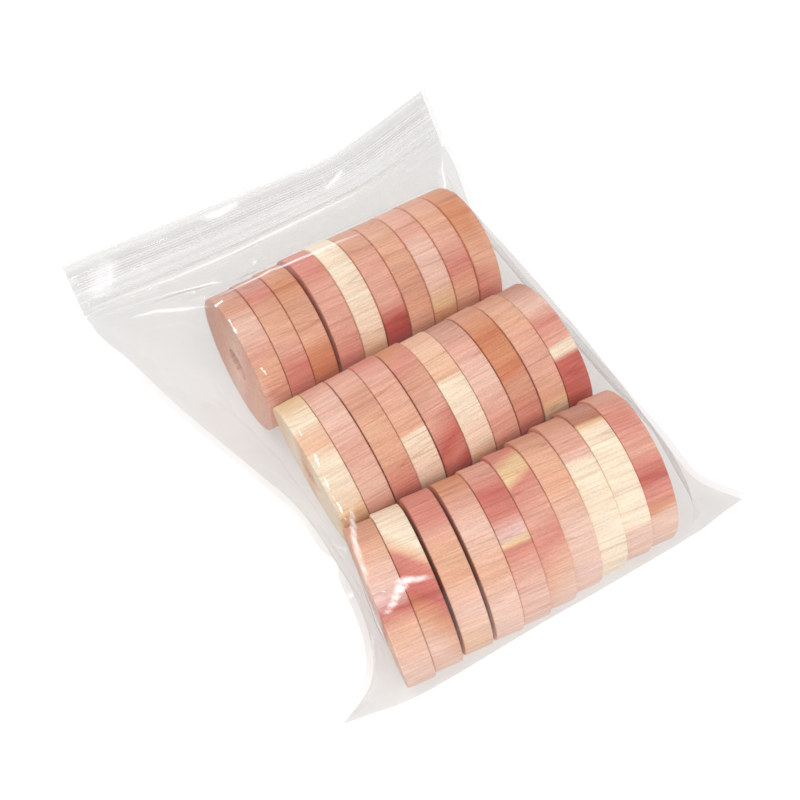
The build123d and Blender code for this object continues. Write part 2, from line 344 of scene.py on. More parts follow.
class Film:
    """A grid of film points: rows from the zip to the bottom fold, columns right round the bag."""

    def __init__(self, across, down, rows, clear=0.8, end_clear=0.4):
        self.nx, self.ny, self.around = across, down, 2 * across
        self.rows = rows
        self.clear, self.end_clear = clear, end_clear
        j, k = np.meshgrid(np.arange(down + 1), np.arange(self.around), indexing="ij")
        self.links = []
        for dj, dk, stiff, push, step_j, step_k in LINKS:
            aj, ak = j[: down + 1 - dj], k[: down + 1 - dj]
            for oj in range(step_j):
                for ok in range(step_k):
                    pick = (aj % step_j == oj) & (ak % step_k == ok)
                    start = aj[pick] * self.around + ak[pick]
                    end = (aj[pick] + dj) * self.around + (ak[pick] + dk) % self.around
                    self.links.append([start, end, None, stiff, push])
        self.seams = [self.guide(points) for points in (LEFT_SEAM, RIGHT_SEAM)]

    def guide(self, points):
        """Seam points at each row of the grid, and how firmly each is held."""
        points = np.array(points, float)
        runs = runs_along(points[:, :3])
        places = np.linspace(0, runs[-1], self.ny + 1)
        held = np.stack([np.interp(places, runs, points[:, i]) for i in range(4)], 1)
        for _ in range(self.ny // 10):
            held[1:-1, :3] += 0.25 * (held[:-2, :3] + held[2:, :3] - 2 * held[1:-1, :3])
        return held

    def first_shape(self):
        """Straight film from the seams over the corners of the rows."""
        ends = [
            [float((centres[i] + way * RING_HALF * axis)[0]) for centres, axis in self.rows][::-1]
            for i, way in ((0, -1), (-1, 1))
        ]
        middles = [float(centres[:, 1].mean()) for centres, _ in self.rows][::-1]
        grid = np.zeros((self.ny + 1, self.around, 3))
        share = np.linspace(0, 1, self.nx + 1)
        k = np.arange(self.nx + 1)
        for path, columns in ((OVER_ROWS, k), (UNDER_ROWS, (self.around - k) % self.around)):
            path = np.array(path, float)
            runs = runs_along(path)
            places = np.linspace(0, runs[-1], self.ny + 1)
            heights = np.interp(places, runs, path[:, 1])
            for j, (y, z) in enumerate(zip(np.interp(places, runs, path[:, 0]), heights)):
                left, right = self.seams[0][j, :3], self.seams[1][j, :3]
                w = min(max((OVER_ROWS[0][0] - y) / SPREAD, 0), 1)
                row_left, row_right = (np.interp(y, middles, end) for end in ends)
                x0 = max(row_left - END_ROOM, left[0] + LEAST_INSET)
                x1 = min(row_right + END_ROOM, right[0] - LEAST_INSET)
                x0 = (1 - w) * (left[0] + SEAM_INSET) + w * x0
                x1 = (1 - w) * (right[0] - SEAM_INSET) + w * x1
                line = np.array([left, (x0, y, z), (x1, y, z), right])
                d = runs_along(line)
                grid[j, columns] = np.stack([np.interp(share, d / d[-1], line[:, i]) for i in range(3)], 1)
        self.hold(grid.reshape(-1, 3))
        return grid

    def hold(self, flat):
        """Pulls the seams to their lines and pins the zip's foot."""
        base = np.arange(self.ny + 1) * self.around
        for guide, column in zip(self.seams, (0, self.nx)):
            flat[base + column] += (guide[:, :3] - flat[base + column]) * SEAM_PULL * guide[:, 3:]
        u = np.linspace(0, 1, self.nx + 1)
        k = np.arange(self.nx + 1)
        flat[k] = zip_foot(u, 1)
        flat[(self.around - k) % self.around] = zip_foot(u, -1)

    def close_fold(self, flat):
        """Front and back film meet at the bottom fold."""
        k = np.arange(1, self.nx)
        a = self.ny * self.around + k
        b = self.ny * self.around + self.around - k
        flat[a] = flat[b] = 0.5 * (flat[a] + flat[b])

    def keep_apart(self, flat):
        """The front film stays above the back film."""
        row = np.arange(self.ny)[:, None] * self.around
        k = np.arange(1, self.nx)
        a, b = (row + k).ravel(), (row + self.around - k).ravel()
        need = 0.5 * np.maximum(FILM_GAP - (flat[a, 2] - flat[b, 2]), 0)
        flat[a, 2] += need
        flat[b, 2] -= need

    def clear_rings(self, flat):
        """Keeps the film outside the rings and above the floor."""
        for centres, axis in self.rows:
            near = np.nonzero(np.abs(flat[:, 1] - centres[:, 1].mean()) < RING_RADIUS + 2)[0]
            p = flat[near]
            s, along = p @ axis, centres @ axis
            middle = centres.copy()
            middle[1:-1] = (centres[:-2] + centres[1:-1] + centres[2:]) / 3
            q = p - np.stack([np.interp(s, along, middle[:, i]) for i in range(3)], 1)
            radial = q - (q @ axis)[:, None] * axis
            r = np.linalg.norm(radial, axis=1) + TINY
            low = s - (along[0] - RING_HALF - self.end_clear)
            high = (along[-1] + RING_HALF + self.end_clear) - s
            deep = RING_RADIUS + self.clear - r
            inside = (deep > 0) & (low > 0) & (high > 0)
            side = np.minimum(low, high)
            out = inside & (deep <= side)
            p[out] += (radial / r[:, None] * deep[:, None])[out]
            left = inside & (deep > side) & (low <= high)
            p[left] -= axis * low[left, None]
            right = inside & (deep > side) & (low > high)
            p[right] += axis * high[right, None]
            flat[near] = p
        flat[:, 2] = np.maximum(flat[:, 2], FLOOR_GAP)

    def smooth(self, grid, passes):
        """Evens out the grid, clear of the rings."""
        for _ in range(passes):
            turned = np.roll(grid, 1, 1) + np.roll(grid, -1, 1)
            new = grid.copy()
            new[1:-1] = 0.5 * grid[1:-1] + 0.125 * (grid[:-2] + grid[2:] + turned[1:-1])
            new[-1] = 0.5 * grid[-1] + 0.25 * turned[-1]
            new[:, (0, self.nx)] = grid[:, (0, self.nx)]
            flat = new.reshape(-1, 3)
            self.close_fold(flat)
            self.clear_rings(flat)
            grid = new
        return grid

    def measure(self, grid, slack):
        """Sets each link's rest length from a shape, plus slack at the gussets, sides and ears."""
        s = np.linspace(0, 1, self.ny + 1)[:, None]
        u = np.arange(self.around) / self.nx
        v = np.where(u <= 1, u, 2 - u)[None, :]
        side = np.clip(1 - np.minimum(v, 1 - v) / SIDE_EASE, 0, 1)
        ear = np.clip((s - EAR_FROM) / EAR_EASE, 0, 1)
        body = np.clip((s - BODY_FROM) / BODY_EASE, 0, 1)
        share = BODY_SLACK * body + SIDE_SLACK * side * (SEAM_SLACK + EAR_SLACK * ear)
        more = (slack * share).ravel()
        flat = grid.reshape(-1, 3)
        for link in self.links:
            a, b = link[0], link[1]
            link[2] = np.linalg.norm(flat[b] - flat[a], axis=1) * (1 + 0.5 * (more[a] + more[b]))

    def relax(self, grid, rounds, fall):
        """Lets the film settle: it keeps its lengths, resists bending and stays off the rings."""
        flat = grid.reshape(-1, 3).copy()
        before = flat.copy()
        for _ in range(rounds):
            speed = CARRY * (flat - before)
            before = flat.copy()
            flat += speed
            flat[:, 2] -= fall
            for a, b, rest, stiff, push in self.links:
                d = flat[b] - flat[a]
                n = np.sqrt((d * d).sum(1)) + TINY
                c = (n - rest) / n
                if push:
                    c = np.minimum(c, 0)
                d *= (0.5 * stiff * c)[:, None]
                flat[a] += d
                flat[b] -= d
            self.hold(flat)
            self.close_fold(flat)
            self.clear_rings(flat)
            self.keep_apart(flat)
        return flat.reshape(grid.shape)


# Sharp folds of the front film, in millimetres: points, half width, and height out of the film
FOLDS = (
    (((-76, 74, 2), (-57, 52, 20), (-37, 47, 24), (-27, 30, 39), (-18, 18, 46)), 1.4, 0.9),
    (((-76, 72, 3), (-59, 47, 21), (-45, 21, 42), (-39, 13, 46)), 1.2, 0.7),
    (((-75, 70, 4), (-63, 48, 15), (-55, 27, 24), (-48, 1, 38)), 1.5, 0.6),
    (((-66, 31, 10), (-57, 9, 19), (-50, -15, 25), (-47, -40, 28), (-44, -60, 38)), 2.2, -1.0),
    (((-40, -66, 46), (-43, -78, 46), (-46, -88, 40), (-50, -95, 20), (-56, -99, 12)), 1.3, 0.8),
    (((-51, -99, 15), (-58, -99, 11), (-64, -99, 9)), 1.2, 0.8),
    (((-46, -94, 42), (-44, -92, 44), (-41, -89, 45), (-36, -89, 45), (-31, -91, 44)), 1.5, 1.1),
    (((-46, -84, 45), (-41, -90, 45), (-40, -96, 42)), 1.4, 0.7),
    (((46, -42, 40), (49, -50, 32), (51, -71, 28), (53, -92, 16)), 1.4, 0.7),
    (((43, -97, 36), (41, -103, 30), (40, -105, 18)), 1.4, 0.7),
    (((53, -91, 16), (54, -98, 12), (56, -102, 9)), 1.3, 0.6),
    (((57, 60, 10), (51, 40, 26), (44, 22, 44)), 1.5, 0.7),
)


# Painted glints of the front film: white painted along these lines, where its creases, zip and lip catch the
# light: points, half width and strength
PAINTED_GLINTS = (
    (((-75, 72.4, 4), (-64, 68.3, 7.6), (-48, 64, 9), (-35.5, 51.5, 19.1), (-26, 28.2, 40.9)), 0.8, 0.95),
    (((-36, 59, 13.3), (-29.4, 56, 14), (-23.5, 45.5, 24.1)), 0.8, 0.5),
    (((-65, 57, 14.5), (-56, 46, 24.2), (-48.8, 31.3, 35.4), (-42.7, 19.7, 44.6)), 0.8, 0.7),
    (
        ((-42.5, 22, 43.6), (-32, 22.6, 44.1), (-22, 22.4, 44.4), (-7, 20.8, 45.2), (10, 19.6, 45.4)),
        0.8, 0.75,
    ),
    (
        ((-45, -93, 43.5), (-42, -92, 45), (-38.7, -89.9, 46), (-35.5, -88.8, 46.1), (-29, -90.8, 45)),
        0.75, 1.0,
    ),
    (((-40.5, -90.5, 45.5), (-37.5, -88, 46), (-34.5, -88.2, 46)), 0.9, 0.7),
    (((-37.7, -62.4, 45.6), (-41.9, -72, 46.1), (-43.6, -80.6, 46), (-45.3, -86.4, 44)), 0.8, 0.7),
    (((-45.3, -86.4, 44), (-47, -87, 30), (-48.3, -87, 18.8), (-52.4, -94.6, 15)), 0.8, 0.6),
    (((-46, -61.7, 31), (-44.6, -71.9, 43.5), (-45.5, -71.1, 37.5)), 0.8, 0.5),
    (((-48, 48, 23), (-42.5, 46.5, 24.4), (-43.5, 38, 31)), 0.8, 0.6),
    (((-18, 54, 17.2), (-20.4, 47.2, 22.8)), 0.8, 0.7),
    (
        ((-66, 80.2, 1.5), (-44.6, 77.4, 1.5), (-22, 76.2, 1.5), (7.6, 76.6, 1.5), (41.7, 77, 1.5)),
        0.8, 0.55,
    ),
    (((-72, 84, 1.4), (-66, 93, 1.4), (-60, 101, 1.4)), 6.0, 0.45),
    (((-66, 86, 1.4), (-60.5, 99, 1.4)), 1.6, 0.6),
    (((-24, 98.5, 1.5), (-17, 97.2, 1.5), (-8, 98.2, 1.5)), 2.2, 0.6),
    (((22.7, 85.5, 1.5), (29.3, 88.7, 1.6), (32.7, 91.1, 1.7)), 1.0, 0.8),
)


def spans_near(grid, points):
    """For each span of a line: how far film points are from it, and their share of the line."""
    points = np.array(points, float)
    runs = runs_along(points)
    for k, span in enumerate(np.diff(runs)):
        d = grid - points[k]
        way = (points[k + 1] - points[k]) / span
        t = np.clip(d @ way, 0, span)
        yield np.linalg.norm(d - t[..., None] * way, axis=2), (runs[k] + t) / runs[-1]


def painted_glint_marks(grid):
    """How strongly each film point is painted white, from the painted glints."""
    marks = np.zeros(grid.shape[:2])
    for points, width, strength in PAINTED_GLINTS:
        for apart, share in spans_near(grid, points):
            taper = np.sin(np.pi * np.clip(share, 0.02, 0.98)) ** 0.4
            marks = np.maximum(marks, strength * taper * np.exp(-((apart / width) ** 2)))
    return marks


def add_folds(grid, normals):
    """Raises or sinks the film along each fold, least at the fold's ends."""
    for points, width, height in FOLDS:
        best = np.full(grid.shape[:2], np.inf)
        at = np.zeros(grid.shape[:2])
        for apart, share in spans_near(grid, points):
            near = apart < best
            best[near] = apart[near]
            at[near] = share[near]
        raised = height * np.exp(-((best / width) ** 2)) * np.sin(np.pi * np.clip(at, 0, 1)) ** 0.5
        grid = grid + normals * raised[..., None]
    return grid


def finer(grid):
    """The same film with twice the points each way."""
    rows, around, _ = grid.shape
    new = np.zeros((2 * rows - 1, 2 * around, 3))
    new[::2, ::2] = grid
    new[::2, 1::2] = 0.5 * (grid + np.roll(grid, -1, 1))
    new[1::2] = 0.5 * (new[:-2:2] + new[2::2])
    return new


def settle_film(settings):
    """Relaxes the film, coarse then fine, and returns its points in millimetres."""
    rows = ring_rows()
    film = Film(ACROSS, DOWN, rows)
    grid = film.smooth(film.first_shape(), 10)
    film.measure(grid, settings.slack)
    grid = film.relax(grid, ROUNDS, fall=0.001)
    film = Film(2 * ACROSS, 2 * DOWN, rows)
    grid = film.smooth(finer(grid), 2)
    film.measure(film.smooth(film.first_shape(), 12), settings.slack)
    grid = film.relax(grid, ROUNDS, fall=0.0005)
    film = Film(4 * ACROSS, 4 * DOWN, rows, clear=0.3, end_clear=0.1)
    return film.smooth(finer(grid), 6)


# Meshes


def unit(vectors):
    """The same directions, one long."""
    return vectors / (np.linalg.norm(vectors, axis=-1, keepdims=True) + TINY * MM)


def add_mesh(name, points, faces, uvs=None, normals=None, smooth=True):
    """A mesh object from points in metres."""
    mesh = bpy.data.meshes.new(name)
    mesh.from_pydata([tuple(p) for p in points], [], [tuple(f) for f in faces])
    if uvs is not None:
        layer = mesh.uv_layers.new(name="flat")
        loops = np.array([v for f in faces for v in f])
        layer.data.foreach_set("uv", np.asarray(uvs)[loops].ravel())
    mesh.polygons.foreach_set("use_smooth", [smooth] * len(faces))
    if normals is not None:
        mesh.normals_split_custom_set_from_vertices([tuple(n) for n in normals])
    mesh.update()
    obj = bpy.data.objects.new(name, mesh)
    bpy.context.scene.collection.objects.link(obj)
    return obj


def patch(name, grid, uvs, normals, marks=None):
    """A rectangular grid of points as a mesh, with the strength of the glints painted on it."""
    rows, columns = grid.shape[:2]
    index = np.arange(rows * columns).reshape(rows, columns)
    corners = (index[:-1, :-1], index[1:, :-1], index[1:, 1:], index[:-1, 1:])
    faces = np.stack(corners, -1).reshape(-1, 4).tolist()
    made = add_mesh(name, grid.reshape(-1, 3) * MM, faces, uvs.reshape(-1, 2), normals.reshape(-1, 3))
    if marks is not None:
        # The crease attribute holds the painted glints, where the film is painted white
        made.data.attributes.new("crease", "FLOAT", "POINT").data.foreach_set("value", marks.ravel())
    return made


def grid_normals(grid):
    """Unit normals of a grid of points."""
    return unit(np.cross(np.gradient(grid, axis=0), np.gradient(grid, axis=1)))


# How much less the bore's edges are eased than the rim's, the points round a ring, and the widest
# step between points across its faces
BORE_EASE_SHARE = 0.7
RING_STEPS = 144
FACE_STEP = 4 * MM


def turned_ring(name, cedar):
    """A turned ring about the local X axis, with eased edges, in metres."""
    outer, inner = cedar.diameter / 2, cedar.bore / 2
    half = cedar.thickness / 2
    rounded = []
    for turn, (x, r) in enumerate(((half, outer), (-half, outer), (-half, inner), (half, inner))):
        ease = cedar.easing if r == outer else BORE_EASE_SHARE * cedar.easing
        middle_x = x - math.copysign(ease, x)
        middle_r = r - ease if r == outer else r + ease
        for step in range(4):
            a = math.radians(90 * turn + 30 * step)
            rounded.append((middle_x + ease * math.cos(a), middle_r + ease * math.sin(a)))
    # More points across the rim and the faces, so that shading stays even
    profile = []
    for (x, r), (next_x, next_r) in zip(rounded, rounded[1:] + rounded[:1]):
        parts = max(1, int(math.hypot(next_x - x, next_r - r) / FACE_STEP))
        for p in range(parts):
            profile.append((x + (next_x - x) * p / parts, r + (next_r - r) * p / parts))
    points, faces = [], []
    n = len(profile)
    for s in range(RING_STEPS):
        t = 2 * math.pi * s / RING_STEPS
        points += [(x, -r * math.sin(t), r * math.cos(t)) for x, r in profile]
        here, ahead = s * n, (s + 1) % RING_STEPS * n
        for i in range(n):
            after = (i + 1) % n
            faces.append((here + i, here + after, ahead + after, ahead + i))
    return add_mesh(name, points, faces)


# Materials


def node(tree, kind, inputs=None, **settings):
    """Adds a node with its settings and links. An input gets a value, the output of another node,
    or another node, which stands for its first output."""
    made = tree.nodes.new("ShaderNode" + kind)
    for key, value in settings.items():
        setattr(made, key, value)
    for key, value in (inputs or {}).items():
        if isinstance(value, bpy.types.Node):
            value = value.outputs[0]
        if isinstance(value, bpy.types.NodeSocket):
            tree.links.new(value, made.inputs[key])
        else:
            made.inputs[key].default_value = value
    return made


def material(name):
    """A material with an empty node tree."""
    made = bpy.data.materials.new(name)
    made.use_nodes = True
    made.node_tree.nodes.clear()
    return made


def light(share):
    """A neutral colour that sends on this share of the light."""
    return (share, share, share, 1.0)


# A ring's bands are planes that face this angle from its top, towards the bottom fold
BAND_ANGLE = 105
BAND_WAVER = 0.22
# How far apart in the cedar's pattern two rings are cut, in metres
CUT_APART = (0.0, 0.37, 0.61)


def cedar_material(name, tones, slant, seed, cedar):
    """Eastern red cedar, bare and finely turned: pink to crimson heartwood with cream sapwood,
    in bands that run straight through the ring, and fine grain along its axis."""
    made = material(name)
    tree = made.node_tree
    place = node(tree, "TexCoord").outputs["Object"]
    cut = node(tree, "VectorMath", {0: place, 1: [seed * d for d in CUT_APART]}, operation="ADD")
    # Bands: how far each point is along their direction, in ring radii, and aslant by the slant
    split = node(tree, "SeparateXYZ", {0: place})
    turn = math.radians(BAND_ANGLE)
    band = 0.0
    for side, share in (("Y", -math.sin(turn)), ("Z", math.cos(turn)), ("X", slant)):
        inputs = {0: split.outputs[side], 1: share / (cedar.diameter / 2), 2: band}
        band = node(tree, "Math", inputs, operation="MULTIPLY_ADD")
    # Slow waver of the bands, about 9 mm long across the grain and 30 mm along it
    long_grain = node(tree, "Mapping", {"Vector": cut, "Scale": (0.3, 1.0, 1.0)})
    waver = node(tree, "TexNoise", {"Vector": long_grain, "Scale": 0.11 / MM, "Detail": 3.0})
    waver = node(tree, "Math", {0: waver, 1: 0.5}, operation="SUBTRACT")
    band = node(tree, "Math", {0: waver, 1: BAND_WAVER, 2: band}, operation="MULTIPLY_ADD")
    # The ramp starts one radius behind the ring's middle and ends one radius before it
    ramp = node(
        tree, "ValToRGB", {0: node(tree, "Math", {0: band, 1: 0.5, 2: 0.5}, operation="MULTIPLY_ADD")}
    )
    stops = [
        (0.5 + 0.5 * math.cos(math.radians(angle - BAND_ANGLE)), tone) for angle, tone in tones.items()
    ]
    elements = ramp.color_ramp.elements
    while len(elements) < len(stops):
        elements.new(0.5)
    for element, (spot, tone) in zip(elements, sorted(stops)):
        element.position = spot
        element.color = (*getattr(cedar, tone), 1.0)
    # Figure by how many fit in a millimetre: fine grain and streaks along the axis, pores, and the
    # veins where a growth line may run
    stretched = node(tree, "Mapping", {"Vector": cut, "Scale": (0.05, 1.0, 1.0)})
    grain, pores, streaks, veins = (
        node(tree, "TexNoise", {"Vector": source, "Scale": per_mm / MM, "Detail": detail})
        for source, per_mm, detail in (
            (stretched, 1.8, 2.0), (cut, 2.6, 1.0), (stretched, 0.42, 2.0), (stretched, 0.23, 1.0)
        )
    )
    # A thin growth line follows the middle value of the veins, every few millimetres
    line = node(tree, "Math", {0: veins, 1: 0.5}, operation="SUBTRACT")
    line = node(tree, "Math", {0: line}, operation="ABSOLUTE")
    layers = (
        (1.0, node(tree, "MapRange", {0: grain, 1: 0.3, 2: 0.7, 3: 0.84, 4: 1.10})),
        (1.0, node(tree, "MapRange", {0: pores, 1: 0.3, 2: 0.7, 3: 0.90, 4: 1.07})),
        (node(tree, "MapRange", {0: streaks, 1: 0.5, 2: 0.75, 3: 0.0, 4: 0.25}), (*cedar.streak, 1.0)),
        (node(tree, "MapRange", {0: line, 1: 0.0, 2: 0.009, 3: 0.32, 4: 0.0}), (*cedar.growth_line, 1.0)),
    )
    tone = ramp
    for share, over in layers:
        inputs = {0: share, 6: tone, 7: over}
        tone = node(tree, "Mix", inputs, data_type="RGBA", blend_type="MULTIPLY").outputs[2]
    bump = node(tree, "Bump", {"Strength": 0.3, "Distance": 0.2 * MM, "Height": grain})
    surface = node(tree, "BsdfPrincipled", {
        "Base Color": tone, "Roughness": 0.62, "IOR": 1.5, "Specular IOR Level": 0.3, "Normal": bump
    })
    node(tree, "OutputMaterial", {"Surface": surface})
    return made


def film_material(name, film, haze, roughness, ribbed=False, dull=False):
    """Clear polyethylene, blown film: it reflects like a thin sheet of plastic, more at a low
    angle, lets nearly all light straight through, and scatters a little as haze."""
    made = material(name)
    tree = made.node_tree
    place = node(tree, "TexCoord")
    # Slight crumples: shallow dimples some 20 mm across, whose uneven slopes meet in ridges
    point = place.outputs["Object"]
    bent = node(tree, "TexNoise", {"Vector": point, "Scale": 0.03 / MM, "Detail": 2.0}).outputs["Color"]
    moved = node(tree, "VectorMath", {0: bent, 1: [20 * MM] * 3, 2: point}, operation="MULTIPLY_ADD")
    cells = node(tree, "TexVoronoi", {"Vector": moved, "Scale": 0.045 / MM}, feature="F1")
    crumple = node(tree, "Bump", {"Strength": 0.3, "Distance": 4 * MM, "Height": cells})
    if ribbed:
        # Die lines and embossed lines that run along the mouth, only on the lip, and its cut edge
        flat = node(tree, "SeparateXYZ", {0: place.outputs["UV"]})
        across, down = flat.outputs["X"], flat.outputs["Y"]
        along = node(tree, "Math", {0: across, 1: 4.0}, operation="MULTIPLY")
        along = node(tree, "Math", {0: down, 1: 0.45 / MM, 2: along}, operation="MULTIPLY_ADD")
        lines = node(tree, "TexNoise", {"W": along, "Scale": 1.0, "Detail": 2.0}, noise_dimensions="1D")
        on_lip = node(tree, "Math", {0: down, 1: film.lip}, operation="LESS_THAN")
        lines = node(tree, "Math", {0: lines, 1: on_lip}, operation="MULTIPLY")
        crumple = node(
            tree, "Bump", {"Strength": 0.3, "Distance": 0.6 * MM, "Height": lines, "Normal": crumple}
        )
        marks = node(tree, "MapRange", {0: lines, 1: 0.46, 2: 0.62, 3: 0.02, 4: 0.24})
        edge = node(tree, "Math", {0: down, 1: 0.5 * MM}, operation="LESS_THAN")
        marks = node(tree, "Math", {0: edge, 1: 0.25, 2: marks}, operation="MULTIPLY_ADD")
        haze = node(tree, "Math", {0: marks, 1: haze}, operation="ADD")
    facing = node(tree, "LayerWeight", {"Blend": 0.5}).outputs["Facing"]
    head_on, low = (0.0, 0.1) if dull else (film.shine, 0.15)
    shine = node(tree, "Math", {0: facing, 1: 4.0}, operation="POWER")
    shine = node(tree, "Math", {0: shine, 1: low, 2: head_on}, operation="MULTIPLY_ADD")
    clear = node(tree, "BsdfTransparent", {"Color": (*film.tint, 1.0)})
    gloss = node(tree, "BsdfGlossy", {"Color": light(1), "Roughness": roughness, "Normal": crumple})
    sheet = node(tree, "MixShader", {0: shine, 1: clear, 2: gloss})
    cloud = node(tree, "AddShader", {
        0: node(tree, "BsdfDiffuse", {"Color": light(0.47)}),
        1: node(tree, "BsdfTranslucent", {"Color": light(0.47)}),
    })
    # Light crosses more film at a low angle, so there is more haze there
    veil = node(tree, "Math", {0: facing, 1: 3.0}, operation="POWER")
    veil = node(tree, "Math", {0: veil, 1: 0.12, 2: haze}, operation="MULTIPLY_ADD")
    body = node(tree, "MixShader", {0: veil, 1: sheet, 2: cloud})
    # Painted glints: the film is painted white along its creases, zip and lip, in place of the light it
    # mirrors there
    painted_glint = node(tree, "Attribute", attribute_name="crease").outputs["Fac"]
    painted_glint = node(tree, "MapRange", {0: painted_glint, 1: 0.15, 2: 0.9, 3: 0.0, 4: 0.85})
    white = node(tree, "BsdfDiffuse", {"Color": light(0.97)})
    body = node(tree, "MixShader", {0: painted_glint, 1: body, 2: white})
    # What the film scatters and reflects goes mostly forward, so its own shadow is faint
    shade = node(tree, "BsdfTransparent", {"Color": light(0.96)})
    shadow = node(tree, "LightPath").outputs["Is Shadow Ray"]
    node(tree, "OutputMaterial", {"Surface": node(tree, "MixShader", {0: shadow, 1: body, 2: shade})})
    return made


def lay_out(piece):
    """Reads the flat map of a film piece."""
    flat = np.zeros(2 * len(piece.data.loops))
    piece.data.uv_layers["flat"].data.foreach_get("uv", flat)


# Operators


class CEDAR_OT_rings(bpy.types.Operator):
    """Add the thirty turned cedar rings"""

    bl_idname = "cedar.rings"
    bl_label = "Add Cedar Rings"

    def execute(self, context):
        cedar = context.scene.cedar
        for row, name in enumerate(ROWS):
            joints = [j for j in frame["joints"] if j["name"].startswith(name + "_row_ring")]
            if len(joints) != len(RING_TONES[name]):
                raise RuntimeError(f"the {name} row has {len(joints)} rings")
            for k, joint in enumerate(joints):
                ring = turned_ring(f"cedar_ring_{name}_{k + 1:02d}", cedar)
                axis = Vector(joint["axis"]).normalized()
                up = (Vector((0, 0, 1)) - axis * axis.z).normalized()
                turned = Matrix((axis, up.cross(axis), up)).transposed().to_4x4()
                ring.matrix_world = Matrix.Translation(joint["pos_m"]) @ turned
                tones, slant = RING_TONES[name][k], SLANTS.get((name, k + 1), 0.0)
                wood = f"bare_turned_cedar_{name}_{k + 1:02d}"
                ring.data.materials.append(cedar_material(wood, tones, slant, 10 * row + k + 1, cedar))
                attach(ring, joint["child"])
                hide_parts(f"{name}_row_ring_{k + 1:02d}")
        return {"FINISHED"}


# Rows of film points on each lip, and the share of the mouth's width on each side of its flap
LIP_ROWS = 56
BESIDE_FLAP_SHARE = 0.33
# The film beside the flap on each side, with two places in metres for it
BLENDS = {
    "left": ((-0.058, 0.05, 0.0), (-0.034, 0.05, 0.0)),
    "right": ((0.052, 0.05, 0.0), (0.028, 0.05, 0.0)),
}
# Points across a weld as shares of its width, and the least height of its points in millimetres
WELD_SHARES = (0, 0.5, 1)
WELD_FLOOR_GAP = 0.1


def lip_points(u, side):
    """Film points of a lip, from the mouth edge to just before the zip's foot."""
    t = np.linspace(1, 0, LIP_ROWS + 1)[:-1, None, None]
    return zip_foot(u, side)[None] * (1 - t) + mouth_edge(u, side)[None] * t


def weld_points(seam, inside, width):
    """Points of a flat strip outside a seam, square to it and away from the film inside."""
    along = unit(np.gradient(seam, axis=0))
    out = seam - inside
    out = unit(out - (out * along).sum(1, keepdims=True) * along)
    for _ in range(12):
        out[1:-1] = 0.5 * out[1:-1] + 0.25 * (out[:-2] + out[2:])
    strip = np.stack([seam + unit(out) * width * share for share in WELD_SHARES], 1)
    strip[..., 2] = np.maximum(strip[..., 2], WELD_FLOOR_GAP)
    return strip


class CEDAR_OT_film(bpy.types.Operator):
    """Add the film bag: back film, front film, mouth film and side welds"""

    bl_idname = "cedar.film"
    bl_label = "Add Film Bag"

    def execute(self, context):
        settings = context.scene.film
        grid = settle_film(settings)
        rows, around, _ = grid.shape
        nx = around // 2
        u = np.linspace(0, 1, nx + 1)
        front = np.concatenate([lip_points(u, 1), grid[:, : nx + 1]])
        front = add_folds(front, grid_normals(front))
        columns = (around - np.arange(nx + 1)) % around
        back = np.concatenate([lip_points(u, -1), grid[:, columns]])
        v = np.concatenate([
            np.linspace(0, settings.lip, LIP_ROWS, endpoint=False),
            np.linspace(settings.lip, settings.lip + settings.depth, rows),
        ])
        uv = np.stack(np.meshgrid(u * settings.width, v), -1)
        clear = film_material("clear_polyethylene_film", settings, settings.haze, 0.07)
        ribbed = film_material("ribbed_polyethylene_lip", settings, settings.haze, 0.07, ribbed=True)
        # The crease behind the back row, where the mouth film starts to lift
        hinge = next(j for j in frame["joints"] if j["name"] == "mouth_hinge")
        hinge_y = hinge["pos_m"][1] / MM
        crease = next(j for j in range(LIP_ROWS, len(front)) if front[j, nx // 2, 1] < hinge_y)
        beside = int(BESIDE_FLAP_SHARE * nx)
        # marks: the painted glints, where the front film is painted white
        normals, marks = grid_normals(front), painted_glint_marks(front)
        pieces = {}
        for name, down, wide in (
            ("front_film", slice(crease, None), slice(0, nx + 1)),
            ("mouth_film", slice(0, crease + 1), slice(beside, nx - beside + 1)),
            ("left_mouth_film", slice(0, crease + 1), slice(0, beside + 1)),
            ("right_mouth_film", slice(0, crease + 1), slice(nx - beside, nx + 1)),
        ):
            area = (down, wide)
            pieces[name] = patch(name, front[area], uv[area], normals[area], marks[area])
        # The back film is laid out the other way across, so that its faces look down
        normals = -grid_normals(back)
        pieces["back_film"] = patch("back_film", back[:, ::-1], uv[:, ::-1], normals[:, ::-1])
        for name, piece in pieces.items():
            piece.data.materials.append(clear if name == "front_film" else ribbed)
        lay_out(pieces["front_film"])
        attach(pieces["front_film"], "bag")
        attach(pieces["back_film"], "bag")
        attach(pieces["mouth_film"], "mouth")
        for side, (start, end) in BLENDS.items():
            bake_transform(pieces[side + "_mouth_film"])
        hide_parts("front_panel")
        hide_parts("mouth_flap")
        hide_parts("back_panel")
        sealed = film_material("heat_sealed_polyethylene", settings, 0.16, 0.12)
        for side, column, inner in (("left", 0, 1), ("right", nx, nx - 1)):
            inside = 0.5 * (front[:, inner] + back[:, inner])
            strip = weld_points(front[:, column], inside, settings.weld / MM)
            uvs = np.stack(np.meshgrid(np.array(WELD_SHARES) * settings.weld, v), -1)
            weld = patch(side + "_weld", strip, uvs, grid_normals(strip))
            weld.data.materials.append(sealed)
            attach(weld, "bag")
            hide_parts(side + "_side_weld")
        lay_out(pieces["back_film"])
        return {"FINISHED"}


# A rib's section, as shares of its width and height, how far it stands off the film, and the share
# of the bag's width that stays free of ribs at each weld
RIDGE_SHARES = ((-0.5, 0.0), (0.0, 1.0), (0.5, 0.0))
RIB_STAND = 0.06
FREE_SHARE = 0.015


